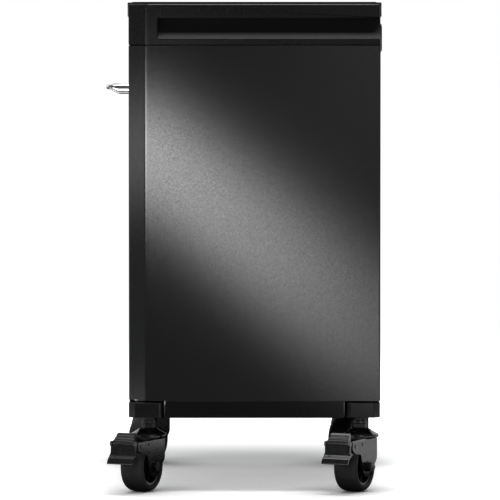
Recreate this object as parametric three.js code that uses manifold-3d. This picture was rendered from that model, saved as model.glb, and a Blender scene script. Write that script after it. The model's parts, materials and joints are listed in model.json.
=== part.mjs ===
// A rolling tool chest: a folded-steel drawer cabinet under a moulded worktop, on four swivel casters.
// Millimetres, +Z up. The chest's front faces -Y and its right-hand side faces +X.
// The origin is the middle of the parked chest's bounding box, at floor level.
import * as THREE from "three";
import { mergeVertices } from "three/addons/utils/BufferGeometryUtils.js";
import Module from "manifold-3d";

const wasm = await Module();
wasm.setup();

// ---- driving dimensions ----
const WIDTH = 680; // cabinet, side to side
const DEPTH = 489; // cabinet, front to back
const HEIGHT = 952; // floor to the top of the deck
const BASE_BOTTOM = 144.5; // underside of the base
const BASE_TOP = 177.5;
const CABINET_BOTTOM = 177.8; // the side panels stand on the base frame
const CABINET_TOP = 867;
const WORKTOP_BOTTOM = 868.4;
const BODY_CENTRE = [-42, 23.7]; // the cabinet's middle, from the origin

const SHEET = 1.5; // cabinet sheet thickness
const GAP = 0.4; // between neighbouring pieces
const POST_CHAMFER = 34; // slanted face of each front corner post
const POST_FACE = 12; // flat front of each corner post
const POST_RETURN = 16; // how far the post folds back beside the drawers
const POST_LIFT = 4; // the post stops short of the base by this much
const BEND = 14; // bend radius where the side turns into the post
const BEND_STEPS = 8; // facets in each bend

const FRONT = -DEPTH / 2;
const BACK = DEPTH / 2;
const SIDE = WIDTH / 2;
const OPENING = SIDE - POST_CHAMFER - POST_FACE; // half the width of the drawer opening

const FACE = FRONT + 18; // plane of the drawer faces
const FACE_DEPTH = 14; // drawer fronts are folded pans this deep
const DRAWER_GAP = 3;
const DRAWER_HEIGHTS = [168, 152, 120, 94, 108]; // from the bottom up
const DRAWERS_BOTTOM = 185;
const DRAWER_LENGTH = 420;
const PULL_DEPTH = 16.5; // how far each pull's lip stands off the drawer face
const BOX_HALF = 276; // half the drawer box's outer width
const HANDLE_TIP = 69; // how far the bow handle stands off the drawer face
const HANDLE_DROP = 3.5; // how far it sits below the middle of the top drawer's face

const CASTER_INSET = 37.5; // swivel axis from the cabinet's sides, front and back
const CASTER_YAW = -26; // degrees, direction in which the parked casters trail
const TRAIL = 28; // wheel axis from the swivel axis
const WHEEL_R = 50;
const WHEEL_SEGMENTS = 28;
const LEG_INNER = 25; // inside of the fork's legs, from the caster's middle
const LEG_OUTER = 28;
const TYRE_HALF = 24.2;
const FORK_TOP = 105.5;
const FORK_BACK = -17; // rear edge of the fork, along the trail
const FORK_SHEET = LEG_OUTER - LEG_INNER;
const DOME_TOP = 122; // top of the domed swivel race on the fork
const PIVOT = [83, 93]; // brake pedal's pivot, along the trail and up

const BLOCK = 66; // corner block's plan size
const STEM_TOP = 167; // top of the caster stems, inside the corner blocks

// ---- materials ----
const material = (color, roughness, metalness) => (
  new THREE.MeshStandardMaterial({ color, roughness, metalness })
);
const STEEL_BLACK = material(0x1b1b1c, 0.42, 0.35);
const PLASTIC_BLACK = material(0x161617, 0.5, 0);
const CASTER_BLACK = material(0x101112, 0.28, 0.5);
const RUBBER = material(0x1c1c1c, 0.8, 0);
const ALUMINIUM = material(0x8f9295, 0.35, 0.9);
const CHROME = material(0xe8e8ea, 0.08, 1);
const ZINC = material(0xa9acaf, 0.35, 0.9);

// ---- solids ----
function toSolid(geometry) {
  const bare = new THREE.BufferGeometry();
  const source = geometry.index ? geometry.toNonIndexed() : geometry;
  bare.setAttribute("position", source.getAttribute("position"));
  const merged = mergeVertices(bare, 1e-4);
  return new wasm.Manifold(
    new wasm.Mesh({
      numProp: 3,
      vertProperties: new Float32Array(merged.attributes.position.array),
      triVerts: new Uint32Array(merged.index.array),
    }),
  );
}

function toGeometry(solid) {
  const mesh = solid.getMesh();
  const geometry = new THREE.BufferGeometry();
  geometry.setAttribute("position", new THREE.BufferAttribute(new Float32Array(mesh.vertProperties), 3));
  geometry.setIndex(new THREE.BufferAttribute(new Uint32Array(mesh.triVerts), 1));
  geometry.computeVertexNormals();
  return geometry;
}

const join = (first, ...others) => others.reduce((whole, s) => whole.add(s), first);
const cut = (first, ...others) => others.reduce((whole, s) => whole.subtract(s), first);

function box(x0, x1, y0, y1, z0, z1) {
  const geometry = new THREE.BoxGeometry(x1 - x0, y1 - y0, z1 - z0);
  return toSolid(geometry.translate((x0 + x1) / 2, (y0 + y1) / 2, (z0 + z1) / 2));
}

function extruded(outline, depth) {
  const points = outline.map(([a, b]) => new THREE.Vector2(a, b));
  if (THREE.ShapeUtils.isClockWise(points)) points.reverse();
  return new THREE.ExtrudeGeometry(new THREE.Shape(points), { depth, bevelEnabled: false });
}

// An outline in X and Y, standing between two heights.
const prismZ = (outline, z0, z1) => toSolid(extruded(outline, z1 - z0).translate(0, 0, z0));

// An outline in X and Z, running between two places along Y.
function prismY(outline, y0, y1) {
  return toSolid(extruded(outline, y1 - y0).rotateX(Math.PI / 2).translate(0, y1, 0));
}

// An outline in Y and Z, running between two places along X.
function prismX(outline, x0, x1) {
  const turn = new THREE.Matrix4().makeBasis(
    new THREE.Vector3(0, 1, 0),
    new THREE.Vector3(0, 0, 1),
    new THREE.Vector3(1, 0, 0),
  );
  return toSolid(extruded(outline, x1 - x0).applyMatrix4(turn).translate(x0, 0, 0));
}

// A profile of [radius, height] points that closes on itself, turned about +Z.
function turned(profile, segments, start = 0) {
  const points = [...profile, profile[0]].map(([r, z]) => new THREE.Vector2(r, z));
  const spun = () => toSolid(new THREE.LatheGeometry(points, segments, start).rotateX(Math.PI / 2));
  const solid = spun();
  if (solid.volume() > 0) return solid;
  points.reverse();
  return spun();
}

const disc = (r, z0, z1, segments = 20) => toSolid(
  new THREE.CylinderGeometry(r, r, z1 - z0, segments).rotateX(Math.PI / 2).translate(0, 0, (z0 + z1) / 2),
);

// A round or six-sided bar along Y, centred on [x, z].
function barY(r, x, z, y0, y1, segments = 12) {
  const geometry = new THREE.CylinderGeometry(r, r, y1 - y0, segments);
  return toSolid(geometry.translate(x, (y0 + y1) / 2, z));
}

const hexRadius = (acrossFlats) => acrossFlats / Math.sqrt(3);

// A polyline of [x, y, radius] corners with each corner rounded by its radius.
function rounded(corners, closed = true, steps = 4) {
  const out = [];
  corners.forEach(([x, y, radius = 0], i) => {
    const before = corners[(i + corners.length - 1) % corners.length];
    const after = corners[(i + 1) % corners.length];
    const here = new THREE.Vector2(x, y);
    if (!radius || (!closed && (i === 0 || i === corners.length - 1))) return out.push([x, y]);
    const a = new THREE.Vector2(before[0] - x, before[1] - y).normalize();
    const b = new THREE.Vector2(after[0] - x, after[1] - y).normalize();
    const half = Math.acos(THREE.MathUtils.clamp(a.dot(b), -1, 1)) / 2;
    const centre = here.clone().add(a.clone().add(b).normalize().multiplyScalar(radius / Math.sin(half)));
    const from = here.clone().addScaledVector(a, radius / Math.tan(half)).sub(centre);
    const to = here.clone().addScaledVector(b, radius / Math.tan(half)).sub(centre);
    const turn = Math.atan2(from.cross(to), from.dot(to));
    for (let k = 0; k <= steps; k++) {
      const p = from.clone().rotateAround(new THREE.Vector2(), (turn * k) / steps).add(centre);
      out.push([p.x, p.y]);
    }
  });
  return out;
}

// The outline of a folded sheet: a path along its outer face, and the same path one thickness to its left.
function folded(path, thickness) {
  const inner = path.map(([x, y], i) => {
    const back = path[Math.max(i - 1, 0)];
    const ahead = path[Math.min(i + 1, path.length - 1)];
    const a = new THREE.Vector2(x - back[0], y - back[1]);
    const b = new THREE.Vector2(ahead[0] - x, ahead[1] - y);
    const first = (a.length() ? a : b).clone().normalize();
    const second = (b.length() ? b : a).clone().normalize();
    const middle = first.clone().add(second).normalize();
    const reach = thickness / middle.dot(first);
    return [x - middle.y * reach, y + middle.x * reach];
  });
  return [...path, ...inner.reverse()];
}

// ---- assembly ----
const chest = new THREE.Group();
chest.position.set(BODY_CENTRE[0], BODY_CENTRE[1], 0);

function addPart(name, solid, finish, parent = chest) {
  const mesh = new THREE.Mesh(toGeometry(solid), finish);
  mesh.name = name;
  parent.add(mesh);
  return mesh;
}

const SIDES = [["left", -1], ["right", 1]];
const ENDS = [["front", -1], ["rear", 1]];

// Each side is one folded sheet: rear flange, side, rounded bend, slanted post, post front and return.
function addSidePanels() {
  const path = rounded([
    [SIDE - 26, BACK],
    [SIDE, BACK, 3],
    [SIDE, FRONT + POST_CHAMFER, BEND],
    [SIDE - POST_CHAMFER, FRONT, 3],
    [OPENING, FRONT, 1.5],
    [OPENING, FRONT + POST_RETURN],
  ], false, BEND_STEPS);
  const outline = folded(path.reverse(), SHEET);
  const shortPost = box(0, SIDE + 1, FRONT - 1, FRONT + POST_CHAMFER + 3, 0, CABINET_BOTTOM + POST_LIFT);
  const panel = cut(prismZ(outline, CABINET_BOTTOM, CABINET_TOP), shortPost);
  addPart("side_panel_right", panel, STEEL_BLACK);
  addPart("side_panel_left", panel.mirror([1, 0, 0]), STEEL_BLACK);
}

function addBackPanel() {
  const half = SIDE - 27;
  const sheet = box(-half, half, BACK - SHEET, BACK, CABINET_BOTTOM, CABINET_TOP);
  const rib = (x) => box(x - 20, x + 20, BACK - 6, BACK - SHEET + 0.1, CABINET_BOTTOM + 8, CABINET_TOP - 10);
  addPart("back_panel", join(sheet, rib(-150), rib(150)), STEEL_BLACK);
}

const FLOOR_TOP = CABINET_BOTTOM + 6.2; // top of the cabinet's floor

function addFloorPan() {
  const inset = SHEET + GAP;
  const corner = POST_CHAMFER + 8;
  const half = SIDE - inset;
  const rear = BACK - 8;
  const outline = [
    [half, rear], [-half, rear], [-half, FRONT + corner], [-half + corner, FRONT + 3],
    [-OPENING + 1, FRONT + 3], [OPENING - 1, FRONT + 3], [half - corner, FRONT + 3], [half, FRONT + corner],
  ];
  const posts = SIDES.map(([, s]) => box(
    Math.min(s * (OPENING - 3), s * (SIDE + 1)), Math.max(s * (OPENING - 3), s * (SIDE + 1)),
    FRONT - 1, FRONT + POST_RETURN + 3, CABINET_BOTTOM, FLOOR_TOP + 5,
  ));
  const lip = box(-OPENING + 4, OPENING - 4, FRONT + 1, FRONT + 3.2, CABINET_BOTTOM + 0.4, FLOOR_TOP);
  addPart("floor_pan", join(cut(prismZ(outline, FLOOR_TOP - SHEET, FLOOR_TOP), ...posts), lip), STEEL_BLACK);
}

function addFrontRail() {
  const half = OPENING - GAP;
  const bottom = DRAWERS_BOTTOM + DRAWER_HEIGHTS.reduce((sum, h) => sum + h + DRAWER_GAP, 0);
  const outline = folded(rounded([
    [FRONT + 24, bottom], [FRONT + 5, bottom, 2], [FRONT + 5, CABINET_TOP, 2], [FRONT + 24, CABINET_TOP],
  ], false, 2), -SHEET);
  const lockHole = barY(LOCK.r + 0.5, LOCK.x, LOCK.z, FRONT, FRONT + 12, 20);
  addPart("front_rail", cut(prismX(outline, -half, half), lockHole), STEEL_BLACK);
}

// The lock's plug turns a quarter turn in the front rail and carries a cam behind it.
const LOCK = { x: 232, z: 854, r: 9.5 };

function addLock() {
  const face = barY(LOCK.r + 2.5, 0, 0, FRONT + 1.5, FRONT + 4.6, 20);
  const barrel = barY(LOCK.r, 0, 0, FRONT + 4, FRONT + 22, 20);
  const cam = box(-5, 5, FRONT + 20, FRONT + 22.5, -9, 9);
  const slot = box(-1, 1, FRONT, FRONT + 9, -4.5, 4.5);
  const lock = addPart("lock_plug", cut(join(face, barrel, cam), slot), CHROME);
  lock.position.set(LOCK.x, 0, LOCK.z);
}

// The moulded worktop: a hollow cap with a raised deck and a finger scoop along each side.
const LIP_BOTTOM = 921; // underside of the side lips that the fingers hook behind
const SCOOP_BOTTOM = 879.5;
const SCOOP_FRONT = -187.5;
const SCOOP_RADIUS = 100; // of the hollow ramp inside the scoop
const SCOOP_TILT = 42; // degrees the ramp leans back at its outer edge
const LIP_THICKNESS = 9;
const LIP_RECESS = 12; // height of the hollow behind the lip

// The scoop's ramp rises inwards from its outer edge and steepens until it is level with the lip's underside.
function scoopCutter() {
  const steps = 10;
  const first = THREE.MathUtils.degToRad(SCOOP_TILT);
  const last = Math.asin(Math.sin(first) - (LIP_BOTTOM - SCOOP_BOTTOM) / SCOOP_RADIUS);
  const outline = [[SIDE + 2, LIP_BOTTOM], [SIDE + 2, SCOOP_BOTTOM]];
  for (let k = 0; k <= steps; k++) {
    const angle = first + (last - first) * (k / steps);
    outline.push([
      SIDE - SCOOP_RADIUS * (Math.cos(angle) - Math.cos(first)),
      SCOOP_BOTTOM + SCOOP_RADIUS * (Math.sin(first) - Math.sin(angle)),
    ]);
  }
  const depth = SCOOP_RADIUS * (Math.cos(last) - Math.cos(first));
  const recessTop = LIP_BOTTOM + LIP_RECESS;
  const lipBack = SIDE - LIP_THICKNESS;
  outline.push([SIDE - depth, recessTop], [lipBack, recessTop], [lipBack, LIP_BOTTOM]);
  return prismY(outline, SCOOP_FRONT, BACK + 5);
}

function capOutline(front, back, inset = 0) {
  const corner = POST_CHAMFER - inset * 0.6;
  return rounded([
    [SIDE - inset, back, 5], [-SIDE + inset, back, 5],
    [-SIDE + inset, front + corner, BEND], [-SIDE + inset + corner, front, 3],
    [SIDE - inset - corner, front, 3], [SIDE - inset, front + corner, BEND],
  ], true, BEND_STEPS);
}

// A rib under the cap's edge that drops inside the side panels and closes the seam.
function seamRib() {
  const outer = SHEET + 0.6;
  const inner = outer + 3;
  const bottom = WORKTOP_BOTTOM - 5;
  return cut(
    prismZ(capOutline(FRONT + outer, BACK - outer, outer), bottom, WORKTOP_BOTTOM + 1),
    prismZ(capOutline(FRONT + inner, BACK - inner, inner), bottom - 1, WORKTOP_BOTTOM),
    box(-OPENING - 3, OPENING + 3, FRONT, BACK, bottom - 1, WORKTOP_BOTTOM),
  );
}

function addWorktop() {
  const skirt = prismZ(capOutline(FRONT, BACK), WORKTOP_BOTTOM, LIP_BOTTOM + 1);
  const rim = prismZ(capOutline(FRONT, BACK - 1), LIP_BOTTOM, HEIGHT - 6);
  const rimEdge = prismZ(capOutline(FRONT + 1, BACK - 2, 1), HEIGHT - 6.1, HEIGHT - 5);
  const deck = prismZ(capOutline(FRONT + 7, BACK - 9, 8), HEIGHT - 5.1, HEIGHT);
  const rearBumper = box(-SIDE + 8, SIDE - 8, BACK - 2, BACK + 1.7, LIP_BOTTOM + 2, HEIGHT - 1);
  const frontBumper = box(-OPENING, OPENING, FRONT - 2, FRONT, LIP_BOTTOM + 2, HEIGHT - 1);
  const frontLedge = box(-OPENING, OPENING, FRONT - 2, FRONT + 8, HEIGHT - 6, HEIGHT - 1);
  const rearLedge = box(-SIDE + 8, SIDE - 8, BACK - 10, BACK + 1.7, HEIGHT - 6, HEIGHT - 1);
  const hollow = box(-SIDE + 42, SIDE - 42, FRONT + 5, BACK - 5, WORKTOP_BOTTOM - 1, HEIGHT - 10);
  const scoop = scoopCutter();
  const whole = join(skirt, seamRib(), rim, rimEdge, deck, rearBumper, frontBumper, frontLedge, rearLedge);
  addPart("worktop", cut(whole, hollow, scoop, scoop.mirror([1, 0, 0])), PLASTIC_BLACK);
}

// A strip across the back that ties the worktop to the cabinet over their seam.
function addTiePlate() {
  const bottom = WORKTOP_BOTTOM - 13.4;
  const top = WORKTOP_BOTTOM + 40.6;
  const outline = [
    [BACK + GAP, bottom], [BACK + 2.4, bottom], [BACK + 3.6, bottom + 5],
    [BACK + 3.6, top - 6], [BACK + 2.4, top], [BACK + GAP, top],
  ];
  addPart("rear_tie_plate", prismX(outline, -300, 300), STEEL_BLACK);
}

// The base frame is a ring of sheet with skirts on four sides, notched for the corner blocks.
function addBaseFrame() {
  const notch = BLOCK + 2;
  const thick = 2;
  const top = BASE_TOP - thick;
  const ring = cut(
    box(-SIDE, SIDE, FRONT, BACK, top, BASE_TOP),
    box(-SIDE + 84, SIDE - 84, FRONT + 84, BACK - 84, top - 1, BASE_TOP + 1),
    ...SIDES.flatMap(([, sx]) => ENDS.map(([, sy]) => box(
      Math.min(sx * (SIDE - notch), sx * (SIDE + 1)), Math.max(sx * (SIDE - notch), sx * (SIDE + 1)),
      Math.min(sy * (BACK - notch), sy * (BACK + 1)), Math.max(sy * (BACK - notch), sy * (BACK + 1)),
      top - 1, BASE_TOP + 1,
    ))),
  );
  const alongY = BACK - notch;
  const alongX = SIDE - notch;
  const sideSkirt = join(
    box(SIDE - thick, SIDE, -alongY, alongY, BASE_BOTTOM, BASE_TOP),
    box(SIDE - 16, SIDE, -alongY, -alongY + thick, BASE_BOTTOM, BASE_TOP),
    box(SIDE - 16, SIDE, alongY - thick, alongY, BASE_BOTTOM, BASE_TOP),
  );
  const endSkirt = join(
    box(-alongX, alongX, BACK - thick, BACK, BASE_BOTTOM, BASE_TOP),
    box(-alongX, -alongX + thick, BACK - 7, BACK, BASE_BOTTOM, BASE_TOP),
    box(alongX - thick, alongX, BACK - 7, BACK, BASE_BOTTOM, BASE_TOP),
  );
  const frame = join(ring, sideSkirt, sideSkirt.mirror([1, 0, 0]), endSkirt, endSkirt.mirror([0, 1, 0]));
  addPart("base_frame", frame, STEEL_BLACK);
}

// Each corner block fills a notch of the base frame and takes a caster stem.
function addCornerBlocks() {
  const outer = SIDE - 5;
  const outline = rounded([
    [outer, BACK - 12], [outer - 12, BACK], [SIDE - BLOCK, BACK, 9],
    [SIDE - BLOCK, BACK - BLOCK, 4], [outer, BACK - BLOCK, 10],
  ]);
  const shell = prismZ(outline, BASE_BOTTOM, BASE_TOP - 3.5);
  const axis = [SIDE - CASTER_INSET, BACK - CASTER_INSET];
  const bore = disc(7.5, BASE_BOTTOM - 1, STEM_TOP + 1).translate([axis[0], axis[1], 0]);
  const boss = disc(14, BASE_TOP - 4, BASE_TOP - GAP).translate([axis[0], axis[1], 0]);
  const block = cut(join(shell, boss), bore);
  for (const [end, sy] of ENDS) {
    for (const [side, sx] of SIDES) {
      const turnedX = sx > 0 ? block : block.mirror([1, 0, 0]);
      addPart(`corner_block_${end}_${side}`, sy > 0 ? turnedX : turnedX.mirror([0, 1, 0]), PLASTIC_BLACK);
    }
  }
}

// A drawer: sheet box with a rail formed along each side, folded front, and a pull.
function drawerBox(bottom, height) {
  const y0 = FACE + FACE_DEPTH + GAP;
  const y1 = y0 + DRAWER_LENGTH;
  const z0 = bottom + 8;
  const z1 = bottom + height - 18;
  const tray = cut(
    box(-BOX_HALF, BOX_HALF, y0, y1, z0, z1),
    box(-BOX_HALF + SHEET, BOX_HALF - SHEET, y0 + SHEET, y1 - SHEET, z0 + SHEET, z1 + 1),
  );
  const rails = SIDES.map(([, s]) => {
    const x = [s * (BOX_HALF - 0.5), s * (BOX_HALF + 8)].sort((a, b) => a - b);
    return box(x[0], x[1], y0 + 10, y1, railHeight(bottom) - 10, railHeight(bottom) + 10);
  });
  return join(tray, ...rails);
}

const railHeight = (bottom) => bottom + 36;

function drawerFront(bottom, height) {
  const half = OPENING - 2.5;
  const pan = box(-half, half, FACE, FACE + FACE_DEPTH, bottom, bottom + height);
  const inside = box(
    -half + SHEET, half - SHEET, FACE + SHEET, FACE + FACE_DEPTH + 1, bottom + SHEET, bottom + height - SHEET,
  );
  return cut(pan, inside);
}

// A full-width hooked rail along the drawer front's top edge. Fingers go up behind its lip.
function drawerPull(top) {
  const y = FACE - GAP;
  const lip = FACE - PULL_DEPTH;
  const outline = rounded([
    [y, top], [lip, top, 3], [lip, top - 15, 0.8], [lip + 2, top - 15, 0.8],
    [lip + 2, top - 2.5, 1], [y - 2, top - 2.5, 1], [y - 2, top - 24], [y, top - 24],
  ], true, 2);
  const half = OPENING - 4;
  return prismX(outline, -half, half);
}

// A cast bow handle: two tapered brackets and a rounded grip.
function bowHandle(z) {
  const base = FACE - GAP;
  const tip = FACE - HANDLE_TIP;
  const bracket = rounded([
    [base, z - 11], [base, z + 8], [tip + 2, z + 8, 3.5], [tip, z + 1, 3],
    [tip + 8, z - 1.5, 2], [tip + 30, z - 8, 5],
  ], true, 3);
  const grip = rounded([
    [tip, z + 8, 4], [tip, z - 1, 3], [tip + 13, z - 1, 3], [tip + 13, z + 8, 4],
  ], true, 3);
  return join(prismX(bracket, -92, -78), prismX(bracket, 78, 92), prismX(grip, -78.2, 78.2));
}

// A slide's cabinet member: a C-channel with a bracket ear at each end that reaches the side panel.
function slideChannel(z) {
  const x0 = BOX_HALF + 2;
  const x1 = BOX_HALF + 12;
  const y0 = FACE + FACE_DEPTH + 3;
  const y1 = y0 + DRAWER_LENGTH + 8;
  const channel = cut(
    box(x0, x1, y0, y1, z - 13, z + 13),
    box(x0 - 1, x1 - 2, y0 - 1, y1 + 1, z - 11, z + 11),
  );
  const wall = SIDE - SHEET - GAP;
  const ears = [y0 + 24, y1 - 28].map((y) => join(
    box(x1 - 1, wall, y, y + 2, z - 9, z + 9),
    box(wall - 2, wall, y, y + 22, z - 9, z + 9),
  ));
  return join(channel, ...ears);
}

function addDrawers() {
  let bottom = DRAWERS_BOTTOM;
  const count = DRAWER_HEIGHTS.length;
  DRAWER_HEIGHTS.forEach((height, i) => {
    const number = count - i; // drawer 1 is the top one
    addPart(`drawer_${number}_box`, drawerBox(bottom, height), STEEL_BLACK);
    addPart(`drawer_${number}_front`, drawerFront(bottom, height), STEEL_BLACK);
    if (number === 1) addPart("drawer_1_handle", bowHandle(bottom + height / 2 - HANDLE_DROP), CHROME);
    else addPart(`drawer_${number}_pull`, drawerPull(bottom + height), ALUMINIUM);
    const channel = slideChannel(railHeight(bottom));
    addPart(`slide_${number}_right`, channel, ZINC);
    addPart(`slide_${number}_left`, channel.mirror([1, 0, 0]), ZINC);
    bottom += height + DRAWER_GAP;
  });
}

// ---- casters, built with the swivel axis on Z and the wheel trailing along +X ----
function stem() {
  const shank = disc(7, 101.5, STEM_TOP, 16);
  const retainer = disc(11, 98.2, 102, 16);
  const nut = disc(hexRadius(24), DOME_TOP + 0.6, 131.2, 6);
  const sleeve = disc(12.6, 131, 138, 20);
  const neck = disc(11, 137.8, BASE_BOTTOM - GAP, 20);
  return join(shank, retainer, nut, sleeve, neck);
}

// The fork's leg, seen along the axle. A braked fork's legs reach out to the pedal's pivot.
function legOutline(braked) {
  const endRadius = 21.5;
  const foot = [];
  for (let degrees = 0; degrees >= -155; degrees -= 155 / 7) {
    const angle = THREE.MathUtils.degToRad(degrees);
    foot.push([TRAIL + endRadius * Math.cos(angle), WHEEL_R + endRadius * Math.sin(angle)]);
  }
  const back = [[FORK_BACK, 62, 14], [FORK_BACK, FORK_TOP]];
  const arm = [[97, FORK_TOP, 7], [97, 86, 7], [80, 78, 10], [58, 76, 6]];
  const plain = [[38, FORK_TOP, 4], [TRAIL + endRadius, 84, 12]];
  return rounded([...back, ...(braked ? arm : plain), ...foot], true, 3);
}

function fork(braked) {
  const outline = legOutline(braked);
  const legs = join(prismY(outline, LEG_INNER, LEG_OUTER), prismY(outline, -LEG_OUTER, -LEG_INNER));
  const webEnd = braked ? 62 : 36;
  const web = box(FORK_BACK, webEnd, -LEG_OUTER, LEG_OUTER, FORK_TOP - FORK_SHEET, FORK_TOP);
  const dome = turned([
    [8, 104.6], [33.6, 104.6], [35.3, 106.2], [35.5, 110], [34, 112.3], [27, 116.4],
    [19.5, 120.4], [14.5, DOME_TOP], [8, DOME_TOP],
  ], 24);
  const kingpinHole = disc(8, FORK_TOP - 10, DOME_TOP + 1, 16);
  const axleHole = barY(5.4, TRAIL, WHEEL_R, -LEG_OUTER - 1, LEG_OUTER + 1);
  const pivotHole = barY(4.2, PIVOT[0], PIVOT[1], -LEG_OUTER - 1, LEG_OUTER + 1);
  return cut(join(legs, web, dome), kingpinHole, axleHole, pivotHole);
}

function aboutAxle(solid) {
  return solid.rotate([90, 0, 0]).translate([TRAIL, 0, WHEEL_R]);
}

// Half a facet of turn sets the wheel down on a flat.
const HALF_FACET = Math.PI / WHEEL_SEGMENTS;

function tyre() {
  const profile = [
    [36, -20.5], [38, -TYRE_HALF], [42.5, -TYRE_HALF], [46.8, -21], [49.2, -14], [WHEEL_R, -5],
    [WHEEL_R, 5], [49.2, 14], [46.8, 21], [42.5, TYRE_HALF], [38, TYRE_HALF], [36, 20.5],
  ];
  return aboutAxle(turned(profile, WHEEL_SEGMENTS, HALF_FACET));
}

function wheelCore() {
  const profile = [
    [5.5, -24.3], [13, -24.3], [14, -10], [29, -7], [32.6, -20.5], [35.6, -20.5],
    [35.6, 20.5], [32.6, 20.5], [29, 7], [14, 10], [13, 24.3], [5.5, 24.3],
  ];
  return aboutAxle(turned(profile, 20));
}

function axle(headSide) {
  const head = LEG_OUTER + GAP;
  const bolt = barY(5, TRAIL, WHEEL_R, -head - 15, head + 1);
  const hexHead = barY(hexRadius(17), TRAIL, WHEEL_R, head, head + 7, 6);
  const nut = barY(hexRadius(17), TRAIL, WHEEL_R, -head - 9, -head, 6);
  const whole = join(bolt, hexHead, nut);
  return headSide > 0 ? whole : whole.mirror([0, 1, 0]);
}

// The pedal rocks on two trunnions in the fork's arms.
// Its lower lip locks the caster and its upper tab frees it.
function brakePedal() {
  const ribs = rounded([
    [88.6, 119.8, 1.5], [93.6, 119, 1.5], [97.4, 115.6, 1.5], [96.4, 113, 1], [101.4, 111, 1.5],
    [100.6, 108.2, 1], [105.4, 106.2, 1.5], [105.6, 101], [102, 97], [86, 114.5, 1.5],
  ], true, 2);
  const taper = prismX([[-17.5, 121], [17.5, 121], [25, 96], [-25, 96]], 80, 110);
  const face = rounded([
    [100.5, 100.5], [105.5, 102.6, 2], [109, 97, 3], [105.8, 88, 8], [108.6, 77], [103.6, 75], [101.5, 90],
  ]);
  const lip = rounded([
    [107.5, 79, 3], [115.6, 71.5, 4], [122, 61, 1.5], [119.6, 59.4, 1], [112, 69, 3], [103.8, 74],
  ], true, 3);
  const cheek = [[75, 99], [75, 86], [93, 74], [105, 74], [104, 99]];
  const cheeks = cut(prismY(cheek, -24, 24), prismY([[70, 100], [70, 60], [98, 60], [101.6, 100]], -21, 21));
  const bridge = box(75, 88, -24, 24, 87.5, 98.5);
  return join(
    prismY(ribs, -26, 26).intersect(taper),
    prismY(face, -26.5, 26.5),
    prismY(lip, -28, 28),
    cheeks,
    bridge,
    barY(3.6, PIVOT[0], PIVOT[1], -LEG_OUTER, LEG_OUTER),
  );
}

function addCasters() {
  const parts = { stem: stem(), tyre: tyre(), core: wheelCore(), pedal: brakePedal() };
  for (const [end, sy] of ENDS) {
    for (const [side, sx] of SIDES) {
      const caster = new THREE.Group();
      caster.position.set(sx * (SIDE - CASTER_INSET), sy * (BACK - CASTER_INSET), 0);
      caster.rotation.z = THREE.MathUtils.degToRad(CASTER_YAW);
      chest.add(caster);
      const place = `${end}_${side}`;
      const braked = side === "right";
      addPart(`caster_stem_${place}`, parts.stem, ZINC, caster);
      addPart(`caster_fork_${place}`, fork(braked), CASTER_BLACK, caster);
      addPart(`wheel_tyre_${place}`, parts.tyre, RUBBER, caster);
      addPart(`wheel_core_${place}`, parts.core, PLASTIC_BLACK, caster);
      addPart(`wheel_axle_${place}`, axle(sy < 0 ? 1 : -1), ZINC, caster);
      if (braked) addPart(`brake_pedal_${place}`, parts.pedal, CASTER_BLACK, caster);
    }
  }
}

addSidePanels();
addBackPanel();
addFloorPan();
addFrontRail();
addLock();
addWorktop();
addTiePlate();
addBaseFrame();
addCornerBlocks();
addDrawers();
addCasters();

export default chest;
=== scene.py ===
import json
import math

import bmesh
import bpy
from mathutils import Matrix, Vector

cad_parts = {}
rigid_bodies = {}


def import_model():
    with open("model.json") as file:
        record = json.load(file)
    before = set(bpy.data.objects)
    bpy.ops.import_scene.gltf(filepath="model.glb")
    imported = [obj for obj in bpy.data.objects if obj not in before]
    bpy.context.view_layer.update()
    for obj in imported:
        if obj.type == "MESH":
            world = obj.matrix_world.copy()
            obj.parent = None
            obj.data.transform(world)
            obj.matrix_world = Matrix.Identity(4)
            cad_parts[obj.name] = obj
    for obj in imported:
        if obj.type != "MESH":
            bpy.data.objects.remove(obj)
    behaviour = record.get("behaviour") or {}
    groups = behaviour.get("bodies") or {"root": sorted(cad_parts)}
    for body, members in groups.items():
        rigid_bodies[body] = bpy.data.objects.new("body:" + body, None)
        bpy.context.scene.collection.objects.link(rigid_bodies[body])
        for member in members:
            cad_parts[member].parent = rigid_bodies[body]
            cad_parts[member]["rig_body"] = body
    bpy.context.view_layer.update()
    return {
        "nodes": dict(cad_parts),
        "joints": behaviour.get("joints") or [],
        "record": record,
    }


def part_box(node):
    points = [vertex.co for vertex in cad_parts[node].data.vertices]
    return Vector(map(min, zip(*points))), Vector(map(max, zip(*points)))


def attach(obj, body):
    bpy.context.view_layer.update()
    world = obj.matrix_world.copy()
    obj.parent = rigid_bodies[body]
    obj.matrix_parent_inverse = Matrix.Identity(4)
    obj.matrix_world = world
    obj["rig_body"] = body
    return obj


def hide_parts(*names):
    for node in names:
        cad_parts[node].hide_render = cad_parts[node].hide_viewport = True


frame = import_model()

MM = 0.001
JOINTS = {joint["name"]: joint for joint in frame["joints"]}
PLACES = [(end, side) for end in ("front", "rear") for side in ("left", "right")]
DRAWERS = (1, 2, 3, 4, 5)

# Cabinet, in millimetres.
SCOOP_FLOOR = 72.2  # below the worktop's top
SCOOP_CEILING = 19  # below the worktop's top
SCOOP_START = 57.5  # behind the worktop's front
SCOOP_REACH = 30  # how far in it goes
LIP_FACE = 0.4  # what lies less deep belongs to the lip's own face
POST_LIFT = (3, 5)  # the slanted post's foot lies between these heights above the panel's bottom
POST_DROP = 3.5
SEAM_START = 60  # behind the panel's front edge

# Joints of the base, in metres along its edge from its corner. A block is stretched towards its joint,
# and a skirt's end is moved.
STRETCH_START = 0.054
STRETCH_LENGTH = 0.012
BLOCK_LIMIT = 0.0665  # the block ends before this
SKIRT_LIMIT = 0.0715  # the skirt begins before this
BLOCK_STRETCH = 0.0034
SKIRT_SHIFT = 0.0028

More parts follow.
